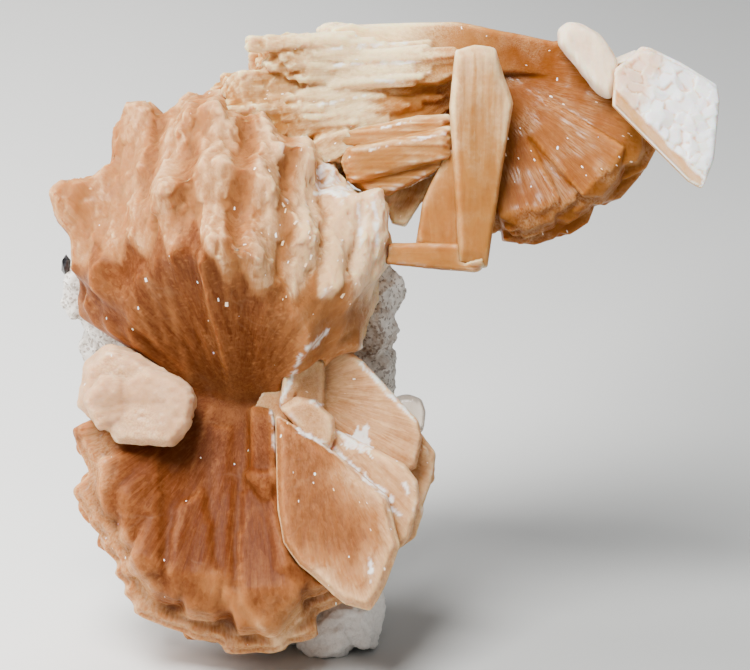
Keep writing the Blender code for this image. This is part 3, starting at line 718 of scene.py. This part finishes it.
BOOK_LINES = (
    ([(-13.8, 37.8), (-7.9, 34.5), (-3.3, 30.5), (1.4, 26.3)], 0.5),
    ([(-3.3, 48.5), (5.8, 38.8)], 0.45),
    ([(1.4, 24.6), (2.8, 24.2)], 0.6),
    ([(3.8, 29.0), (4.2, 27.5)], 0.6),
    ([(-2.0, 17.0), (-1.9, 13.6)], 0.4),
    ([(-11.4, 42.6), (-10.2, 41.8)], 0.6),
    WEDGE_LINE,
)
# The front blade, and the part of its rim that is pale
FRONT_BLADE = [(-17.4, 40.0), (-13.8, 37.8), (-7.9, 33.8), (-3.3, 29.8), (0.4, 27.3), (1.4, 24.8),
               (1.4, 21.5), (2.6, 19.0), (0.8, 15.3), (0.1, 12.5), (-2.1, 8.7), (-6.1, 10.0), (-8.3, 12.5),
               (-13.4, 16.2), (-15.9, 19.7), (-16.9, 25.2)]
PALE_RIM = [(-3.3, 31.0), (1.4, 26.0), (2.6, 19.0), (0.8, 15.3), (0.1, 12.5), (-2.1, 8.7), (-6.1, 10.0),
            (-9.5, 13.0)]


def book_piece():
    """The smaller sheaf at the lower right, open like a book."""
    shape = open_node("right_sheaf")
    add_crystal(shape, Vector((-19.0, -5.0, 42.5)), Vector((-13.5, -8.5, 39.5)), FRONT, 4.5, 5.0, 0.5)
    piece = cast(shape, "book", grain=0.3)
    skin = Skin(piece)
    lanes = skin.rays(RIGHT_WAIST)[0] * 30.0
    skin.push(0.2 + lumps(skin.points, 2.6, 81) * 0.12 + noise(lanes, 82) * 0.08)
    facing = ramp(skin.seen(), 0.2, 0.5)
    to_rim = nearness(skin.points[:, 0], skin.points[:, 2], PALE_RIM)
    skin.terrace(to_rim + FAR * (1.0 - facing), (3.2,), 0.15)
    small, large = skin.crest(8), skin.crest(90)
    x, z = skin.points[:, 0], skin.points[:, 2]
    blade = inside(x, z, FRONT_BLADE) * ramp(skin.seen(), 0.2, 0.5)
    rim = ramp(nearness(x, z, PALE_RIM) + lumps(skin.points, 3.0, 83) * 1.5, 7.5, 1.0)
    tone = 0.68 + lumps(skin.points, 6.0, 84) * 0.12
    tone += blade * (0.2 + rim * 0.45 - tone)
    # Painted shade and highlight: hollows darker and crests paler
    tone += np.clip(small * 0.35, -0.3, 0.12) + np.clip(large * 0.1, -0.2, 0.15)
    skin.paint("tone", tone)
    skin.paint("frost", ramp(small, 0.05, 0.3) * 0.4 + rim * blade * 0.3)
    # Painted highlights along sharp edges
    edges = ramp(small, 0.1, 0.28) * ramp(noise(skin.points / 1.6, 85), 0.1, 0.4) * (1.0 - blade) * 0.5
    flash(skin, BOOK_FLASHES, BOOK_LINES, edges)
    bright_faces(skin, "book_glints", RIGHT_WAIST, (), 30)
    return piece


# How pale the arm is along its length, in millimetres from the middle
ARM_TONES = [(-28.0, 0.5), (-18.0, 0.55), (-10.0, 0.8), (2.0, 0.9), (12.0, 0.42), (22.0, 0.0), (34.0, 0.08),
             (46.0, 0.24)]

# The edges of its prisms, painted as highlights
ARM_LINES = (([(-9.0, 100.5), (4.0, 101.8)], 0.25), ([(-8.0, 98.0), (6.0, 98.6)], 0.2),
             ([(-6.0, 95.6), (3.5, 95.2)], 0.2), ([(-12.0, 91.0), (-3.0, 93.0)], 0.2))


def arm_piece():
    """The sheaf that reaches out: striated prisms on its left, a smooth fan on its right."""
    rng = random.Random(7)
    shape = open_node("arm_sheaf")

    def on_prisms(centre, normal):
        return -9.0 < centre.x < 0.0 and normal.y < -0.2 and 89.0 < centre.z < 101.5

    def on_roots(centre, normal):
        return -19.0 < centre.x < -4.0 and normal.y < -0.2 and centre.z < 91.0

    def on_lumps(centre, normal):
        arm = centre - ARM_WAIST
        return centre.x < -8.0 and normal.dot(arm.normalized()) > 0.1

    def on_fan(centre, normal):
        arm = centre - ARM_WAIST
        return centre.x > 20.0 and centre.z < 94.0 and normal.dot(arm.normalized()) > 0.5

    prisms = spots_on(shape, 30, rng, on_prisms)
    needles = spots_on(shape, 70, rng, on_prisms)
    roots = spots_on(shape, 36, rng, on_roots)
    ends = spots_on(shape, 260, rng, on_lumps)
    petals = spots_on(shape, 70, rng, on_fan)
    lay(shape, prisms, rng, Vector((1.0, 0.0, 0.04)), (13.0, 19.0), (1.6, 3.0), (1.0, 1.8))
    lay(shape, needles, rng, Vector((1.0, 0.0, 0.06)), (11.0, 20.0), (0.5, 1.1), (1.6, 2.6))
    lay(shape, roots, rng, Vector((1.0, 0.0, 0.4)), (6.0, 11.0), (1.0, 2.4), (1.4, 2.4))
    sprout(shape, ARM_WAIST, ends, rng, (0.2, 1.3), (1.0, 2.3), (0.9, 1.8))
    sprout(shape, ARM_WAIST, petals, rng, (0.0, 0.7), (2.0, 4.0), (0.8, 1.4), lie=FRONT)
    piece = cast(shape, "arm", grain=0.35, soft=0)
    skin = Skin(piece)
    left = ramp(skin.points[:, 0], 12.0, 4.0)
    lanes = skin.points / np.array((30.0, 1.0, 0.9))
    skin.push(0.1 + left * noise(lanes, 71) * 0.12 + (1.0 - left) * lumps(skin.points, 2.2, 72) * 0.1)
    lumpy = ramp(skin.points[:, 0], -10.0, -14.0)
    skin.facet(1.3, (1.0, 1.0, 1.0), 0.2, lumpy * 0.7, 74)
    small, large = skin.crest(8), skin.crest(90)
    x, z = skin.points[:, 0], skin.points[:, 2]
    tone = np.interp(x, *zip(*ARM_TONES)) - ramp(z, 91.0, 86.0) * left * 0.2
    # Painted shade in the hollow between the top crystals and the prisms, and in smaller hollows; crests
    # paler
    hollow_shade = ramp(np.hypot((x - 6.5) / 8.0, (z - 91.5) / 4.0), 1.3, 0.5)
    tone += np.clip(small * 0.5, -0.3, 0.2) + np.clip(large * 0.08, -0.3, 0.15)
    tone += lumps(skin.points, 7.0, 73) * 0.1 - hollow_shade * 0.45
    skin.paint("tone", tone)
    misty = (1.0 - left) * 0.35 * ramp(lumps(skin.points, 4.0, 75), -0.2, 0.4)
    skin.paint("frost", ramp(small, 0.05, 0.35) * left * ramp(x, -16.0, -10.0) + misty)
    flash(skin, (), ARM_LINES)
    bright_faces(skin, "arm_glints", ARM_WAIST, (), 70)
    return piece


def cloudy(skin):
    """Clouds of dust all over."""
    return ramp(lumps(skin.points, 4.0, 97), -0.1, 0.4) * 0.7


def dusty_top(skin):
    """Dust on the upper part."""
    return ramp(skin.points[:, 2] + lumps(skin.points, 5.0, 94) * 6.0, 80.0, 100.0) * 0.7


def dusty_end(skin):
    """Dust on the right end."""
    return ramp(skin.points[:, 0], 12.0, 15.0)


def lone_piece(node, name, soft, tone, frost, lanes=(4.0, 4.0, 4.0), lines=(), groove=0.12):
    """A single crystal with grooves and painted highlights on its edges.

    The lanes are the width of a groove along each direction and groove is its depth, in
    millimetres. Tone says how pale the crystal is, and frost where it is dusty.
    """
    piece = cast(open_node(node), name, grain=0.25, soft=soft)
    skin = Skin(piece)
    lanes = np.array(lanes)
    grooves = noise(skin.points / lanes, 91) + noise(skin.points / lanes * 2.6, 95) * 0.5
    skin.push(0.2 + grooves * groove + lumps(skin.points, 1.8, 92) * 0.07)
    small, large = skin.crest(8), skin.crest(80)
    tone = tone + ramp(skin.points[:, 2], 70.0, 98.0) * 0.3 - 0.2
    # Painted shade and highlight: hollows darker and crests paler
    tone += np.clip(small * 0.6, -0.3, 0.3) + np.clip(large * 0.12, -0.15, 0.3)
    skin.paint("tone", tone + lumps(skin.points, 5.0, 93) * 0.14)
    # Painted highlights along sharp edges
    edges = ramp(small, 0.1, 0.28) * ramp(noise(skin.points / 1.6, 96), 0.05, 0.3) * 0.5
    skin.paint("frost", frost(skin) + ramp(small, 0.05, 0.3) * 0.5)
    flash(skin, (), lines, edges)
    return piece


# The edges of the hanging prism, painted as highlights, in millimetres as seen from the front
HANGING_LINES = (([(-1.3, 87.2), (6.2, 89.0)], 0.15), ([(-2.5, 83.7), (10.6, 86.6)], 0.15),
                 ([(3.3, 77.1), (9.1, 80.3)], 0.15))

# The pearly plate's lower left edge, where its honey-coloured side shows
PLATE_EDGE = [(37.6, 91.5), (44.0, 84.5), (51.5, 77.0), (54.0, 76.0)]


def pearly_piece():
    """The cleaved plate: flakes on its face painted bright as highlights, honey along its lower edge, pink
    at its left.
    """
    piece = cast(open_node("pearly_blade"), "pearly", grain=0.25)
    skin = Skin(piece)
    face = ramp(skin.seen(), 0.5, 0.8)
    x, z = skin.points[:, 0], skin.points[:, 2]
    flakes = noise(skin.points / 3.2, 101) + lumps(skin.points, 1.4, 107) * 0.3
    steps = np.round(flakes * 3.0) / 3.0
    side = ramp(nearness(x, z, PLATE_EDGE) + lumps(skin.points, 1.5, 108) * 0.3, 2.4, 2.0) * face
    skin.push(0.2 + face * (steps * 0.4 + lumps(skin.points, 1.2, 102) * 0.16) * (1.0 - side) - side * 0.5)
    skin.facet(1.7, (1.0, 1.0, 1.0), 0.16, face * (1.0 - side) * 0.8, 103)
    left = ramp(x - (z - 90.0) * 0.5 + lumps(skin.points, 4.0, 104) * 3.0, 44.5, 41.0)
    small = skin.crest(6)
    # Painted shade: darker in hollows
    tone = 0.9 - left * 0.4 - ramp(-small, 0.02, 0.12) * 0.35 + lumps(skin.points, 2.0, 105) * 0.12
    under = ramp(skin.normals() @ np.array((-0.7, 0.0, -0.7)), 0.3, 0.6) * (1.0 - face)
    skin.paint("tone", tone * (1.0 - np.maximum(side, under) * 0.85))
    skin.paint("frost", (1.0 - face) * 0.2)
    # Painted highlights: bright flakes on the plate's face
    highlight = ramp(lumps(skin.points, 1.5, 106), -0.5, 0.0) * ramp(small, -0.08, 0.0)
    skin.paint("pearl_highlight", face * (1.0 - left) * (1.0 - side) * highlight * 0.9)
    return piece


def bright_faces(skin, name, waist, named, count):
    """Small faces on a sheaf, coloured white and cream as painted glints, more of them on the bow tie's
    right.
    """
    rng = random.Random(23)
    shape = bmesh.new()
    normals = skin.normals()
    x, z = skin.points[:, 0], skin.points[:, 2]
    front = normals @ np.array(FRONT) > 0.35
    places = []
    for across, up, long in named:
        near = np.where(front, np.hypot(x - across, z - up), 1e3)
        places.append((int(near.argmin()), long))
    likely = front * (0.08 + ramp(x, -30.0, -6.0)) * (0.05 + ramp(z, 54.0, 62.0))
    for number in rng.choices(range(len(x)), weights=likely.tolist(), k=count):
        places.append((number, rng.uniform(0.25, 0.7)))
    for number, long in places:
        spot = Vector(skin.points[number])
        way = (spot - waist).normalized()
        turn = Vector([rng.uniform(-0.35, 0.35) for _ in range(3)])
        face = (Vector(normals[number]) * 1.3 + Vector(GLANCE) + turn).normalized()
        half = (way - face * way.dot(face)).normalized() * long / 2
        sunk = spot - face * rng.uniform(0.14, 0.22)
        add_crystal(shape, sunk - half, sunk + half, face, long * rng.uniform(0.2, 0.45), 0.5, 0.3 * long)
    piece = make_object(shape, name)
    piece.data.transform(TO_ROW)
    # The faces' white and cream colour is a painted glint
    piece.data.materials.append(highlight_faces)
    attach(piece, "root")


def highlight_faces_material():
    """Faces coloured white and cream as painted glints, with a glossy coat."""
    material, tree, shader, place = new_material("pearl_highlight")
    veil = add(tree, "ShaderNodeTexNoise", {"Vector": place, "Scale": 500.0, "Detail": 2.0}).outputs["Fac"]
    tree.links.new(blend(tree, between(tree, veil, 0.35, 0.75), CREAM, WHITE), shader.inputs["Base Color"])
    shader.inputs["Roughness"].default_value = 0.22
    shader.inputs["Coat Weight"].default_value = 0.3
    return material


# Places in the dome for painted glint faces: right, up and length, in millimetres
NAMED_FACES = [(-16.2, 74.6, 1.1), (-15.6, 73.4, 0.9), (-17.4, 69.4, 1.2), (-16.2, 68.4, 0.9),
               (-8.2, 61.2, 1.3), (-6.4, 59.8, 1.3), (-26.6, 59.0, 0.8), (-25.0, 58.4, 1.2),
               (-38.6, 62.4, 0.9), (-11.5, 66.0, 1.2), (-12.4, 64.8, 0.9), (-14.0, 71.5, 0.9)]
# The way that the bright faces turn: to the front, up and a little left
GLANCE = (-0.15, -0.8, 0.35)


def rock_piece():
    """The grainy rock, with a black glassy grain on its left ear."""
    piece = cast(open_node("matrix_rock"), "rock", grain=0.4)
    skin = Skin(piece)
    skin.push(lumps(skin.points, 3.0, 51, 4) * 0.5)
    skin.facet(1.1, (1.0, 1.0, 1.0), 0.45, 0.7, 52)
    nearest = np.hypot(skin.points[:, 0] + 53.0, skin.points[:, 2] - 64.0).argmin()
    shape = bmesh.new()
    bmesh.ops.create_icosphere(shape, subdivisions=1, radius=1.0)
    bmesh.ops.scale(shape, vec=(0.9, 1.2, 1.9), verts=shape.verts)
    bmesh.ops.translate(shape, vec=Vector((-53.2, skin.points[nearest, 1] - 0.3, 65.0)), verts=shape.verts)
    grain = make_object(shape, "dark_grain")
    grain.data.transform(TO_ROW)
    grain.data.materials.append(dark_glass())
    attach(grain, "root")
    return piece


def dark_glass():
    """A nearly black mineral with a glassy shine."""
    material, tree, shader, place = new_material("dark_mineral")
    cloud = add(tree, "ShaderNodeTexNoise", {"Vector": place, "Scale": 900.0, "Detail": 3.0}).outputs["Fac"]
    colour = blend(tree, between(tree, cloud, 0.35, 0.7), srgb(14, 14, 18), srgb(60, 58, 60))
    tree.links.new(colour, shader.inputs["Base Color"])
    shader.inputs["Roughness"].default_value = 0.2
    return material


# The room

def make_camera():
    """The photograph's view: straight at the upright layout."""
    data = bpy.data.cameras.new("camera")
    data.sensor_width = SENSOR_WIDTH
    data.lens = SENSOR_WIDTH * VIEW_DISTANCE / VIEW_WIDTH
    camera = bpy.data.objects.new("camera", data)
    camera.location = TO_ROW @ (VIEW_CENTRE + FRONT * VIEW_DISTANCE)
    camera.rotation_euler = (math.radians(90.0) - LEAN, 0.0, 0.0)
    bpy.context.scene.collection.objects.link(camera)
    bpy.context.scene.camera = camera


def make_light(name, place, size, power, colour=(1.0, 1.0, 1.0)):
    """A square soft light that faces the specimen."""
    data = bpy.data.lights.new(name, "AREA")
    data.size = size
    data.energy = power
    data.color = colour
    light = bpy.data.objects.new(name, data)
    light.location = place
    light.rotation_euler = (Vector((0.0, 0.0, 0.05)) - Vector(place)).to_track_quat("-Z", "Y").to_euler()
    bpy.context.scene.collection.objects.link(light)


def make_floor():
    """A pale floor that sweeps up to a low wall all round, with painted light and a painted shadow."""
    shape = bmesh.new()
    rim = [shape.verts.new((FLOOR_REACH, 0.0, 0.0))]
    for step in range(1, SWEEP_STEPS + 1):
        turn = math.radians(90.0 * step / SWEEP_STEPS)
        out, up = math.sin(turn) * FLOOR_SWEEP, FLOOR_SWEEP - math.cos(turn) * FLOOR_SWEEP
        rim.append(shape.verts.new((FLOOR_REACH + out, 0.0, up)))
    edges = [shape.edges.new(pair) for pair in zip(rim, rim[1:])]
    bmesh.ops.spin(shape, geom=[*rim, *edges], cent=(0, 0, 0), axis=(0, 0, 1), angle=math.tau, steps=96,
                   use_merge=True)
    bmesh.ops.contextual_create(shape, geom=[e for e in shape.edges if e.is_boundary
                                             and all(v.co.z < 1e-6 for v in e.verts)])
    bmesh.ops.recalc_face_normals(shape, faces=shape.faces)
    floor = make_object(shape, "floor")
    floor.data.shade_smooth()
    paper, tree, shader, place = new_material("paper")
    parts = add(tree, "ShaderNodeSeparateXYZ", {0: place})
    # Painted light: the floor is paler on the left and darker to the right, and a painted shadow darkens
    # its front right
    shade = blend(tree, between(tree, parts.outputs["X"], -0.12, 0.12), (0.92, 0.925, 0.91, 1.0),
                  (0.5, 0.51, 0.51, 1.0))
    front = maths(tree, "MULTIPLY_ADD", parts.outputs["Y"], -0.5, parts.outputs["X"])
    shade = blend(tree, maths(tree, "MULTIPLY", between(tree, front, -0.06, 0.03), 0.75), shade,
                  (0.3, 0.31, 0.31, 1.0))
    tree.links.new(shade, shader.inputs["Base Color"])
    shader.inputs["Roughness"].default_value = 0.7
    floor.data.materials.append(paper)


def make_room():
    """The camera, the floor, the two lights and the pale air around them."""
    make_camera()
    make_floor()
    make_light("window", place=(-0.24, -0.42, 0.8), size=0.45, power=24.0, colour=(1.0, 0.98, 0.95))
    make_light("sheet", place=(-0.85, 0.1, 0.5), size=0.6, power=9.0)
    world = bpy.data.worlds.new("room")
    bpy.context.scene.world = world
    world.use_nodes = True
    air = world.node_tree.nodes["Background"]
    air.inputs["Color"].default_value = (1.0, 1.0, 1.0, 1.0)
    air.inputs["Strength"].default_value = 0.4


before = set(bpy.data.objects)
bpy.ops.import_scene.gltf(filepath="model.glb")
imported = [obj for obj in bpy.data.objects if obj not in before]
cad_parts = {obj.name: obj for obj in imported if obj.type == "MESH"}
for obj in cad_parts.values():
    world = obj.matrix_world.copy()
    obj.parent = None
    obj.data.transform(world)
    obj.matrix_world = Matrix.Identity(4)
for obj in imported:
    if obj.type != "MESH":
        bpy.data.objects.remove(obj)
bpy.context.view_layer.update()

CREAM = srgb(244, 206, 160)
WHITE = srgb(252, 250, 247)
groups = {"fibres": make_fibre_group(), "glints": make_glint_group(), "flaws": make_flaw_group()}
highlight_faces = highlight_faces_material()
PEACH = dict(deep=srgb(88, 43, 18), middle=srgb(160, 105, 62), pale=srgb(228, 186, 140))
HONEY = dict(deep=srgb(124, 68, 22), middle=srgb(166, 112, 58), pale=srgb(248, 224, 176))
MILKY = dict(deep=srgb(154, 108, 70), middle=srgb(196, 154, 118), pale=srgb(246, 226, 202))
PEARLY = dict(deep=srgb(196, 140, 66), middle=srgb(236, 206, 180), pale=srgb(255, 254, 252))
GLASSY = dict(deep=srgb(200, 170, 140), middle=srgb(226, 206, 184), pale=srgb(246, 238, 228))

set_down(main_sheaf_piece(), "main_sheaf", stilbite("peach_stilbite", WAIST, **PEACH))
set_down(arm_piece(), "arm_sheaf", stilbite("arm_stilbite", ARM_WAIST, **HONEY))
set_down(book_piece(), "right_sheaf", stilbite("book_stilbite", RIGHT_WAIST, **PEACH))
set_down(lone_piece("side_crystal", "stub", soft=5, tone=0.58, frost=cloudy, lanes=(3.0, 3.0, 2.0),
                    groove=0.3),
         "side_crystal", stilbite("cloudy_stilbite", WAIST, **MILKY))
set_down(lone_piece("upright_blade", "upright", soft=2, tone=0.5, frost=dusty_top, lanes=(1.3, 3.0, 14.0),
                    groove=0.1),
         "upright_blade", stilbite("upright_stilbite", Vector((14.0, -8.0, 0.0)), **HONEY))
set_down(lone_piece("hanging_prism", "hanging", soft=2, tone=0.45, frost=lambda skin: 0.1,
                    lanes=(14.0, 0.9, 0.8), lines=HANGING_LINES, groove=0.3),
         "hanging_prism", stilbite("hanging_stilbite", Vector((60.0, 0.0, 108.0)), **HONEY))
set_down(lone_piece("cross_blade", "cross", soft=2, tone=0.45, frost=dusty_end, lanes=(9.0, 1.5, 1.5)),
         "cross_blade", stilbite("cross_stilbite", Vector((-60.0, -5.0, 68.0)), **HONEY))
set_down(lone_piece("cap_crystal", "cap", soft=12, tone=0.7, frost=lambda skin: 0.6, lanes=(2.0, 2.0, 6.0)),
         "cap_crystal", stilbite("silky_stilbite", Vector((36.0, -5.0, 60.0)), **MILKY))
set_down(pearly_piece(), "pearly_blade", stilbite("pearly_stilbite", Vector((20.0, -5.0, 120.0)), **PEARLY))
set_down(lone_piece("bead_crystal", "bead", soft=6, tone=0.8, frost=lambda skin: 0.0),
         "bead_crystal", stilbite("clear_stilbite", Vector((4.0, 0.0, 20.0)), rough=0.15, glow=0.0,
                                  clear=0.8, **GLASSY))
set_down(rock_piece(), "matrix_rock", grey_rock())

make_room()
